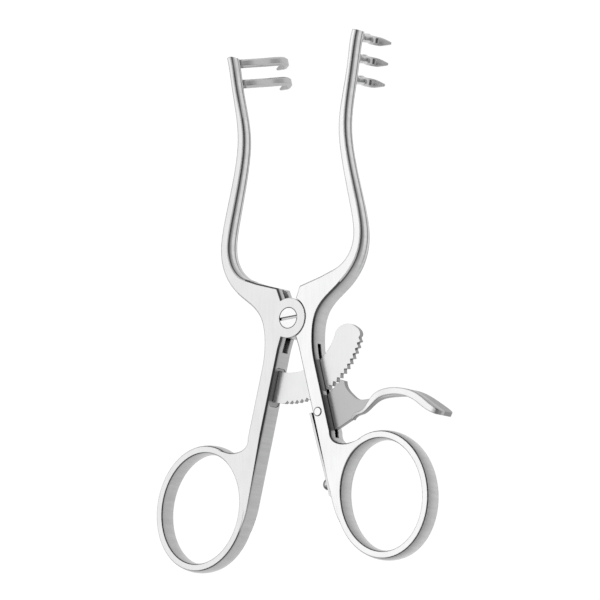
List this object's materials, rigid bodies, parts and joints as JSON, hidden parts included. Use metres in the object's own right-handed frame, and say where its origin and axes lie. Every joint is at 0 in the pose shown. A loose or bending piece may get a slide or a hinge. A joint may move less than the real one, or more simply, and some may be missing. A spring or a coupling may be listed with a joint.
{
  "type": "self retaining retractor",
  "caption": "Self-retaining surgical retractor with ringed handles, a box joint, curved arms ending in hooked prongs, and a toothed arc bar held by a thumb-released catch.",
  "frame": {"origin": "on the joint axis, at the joint's back face", "axes": "+X to the thumb lever side, +Y along the instrument to the prongs, +Z out of the front face, where the joint screw's head is; the prongs run back, to -Z"},
  "size_m": [0.0818, 0.1291, 0.0205],
  "materials": {
    "satin_steel": "satin ground front faces with polished edges",
    "bright_steel": "polished",
    "spring_steel": "satin"
  },
  "bodies": {
    "left_half": {"left_arm": "satin_steel", "joint_screw": "bright_steel", "ratchet_bar": "satin_steel"},
    "right_half": {"right_arm": "satin_steel", "lever_pin": "bright_steel", "leaf_spring": "spring_steel", "spring_screw": "bright_steel"},
    "lever": {"thumb_lever": "satin_steel"}
  },
  "joints": [
    {"name": "arm_pivot", "type": "hinge", "parent": "left_half", "child": "right_half", "pos_m": [0, 0, 0.0028], "axis": [0, 0, 1], "range_deg": [-24.3, 28.35]},
    {"name": "lever_pivot", "type": "hinge", "parent": "right_half", "child": "lever", "pos_m": [0.0084, -0.0231, 0.0028], "axis": [0, 0, 1], "range_deg": [-8, 5.7], "stiffness_Nm_per_rad": 0.3, "springref_deg": 11.46}
  ]
}
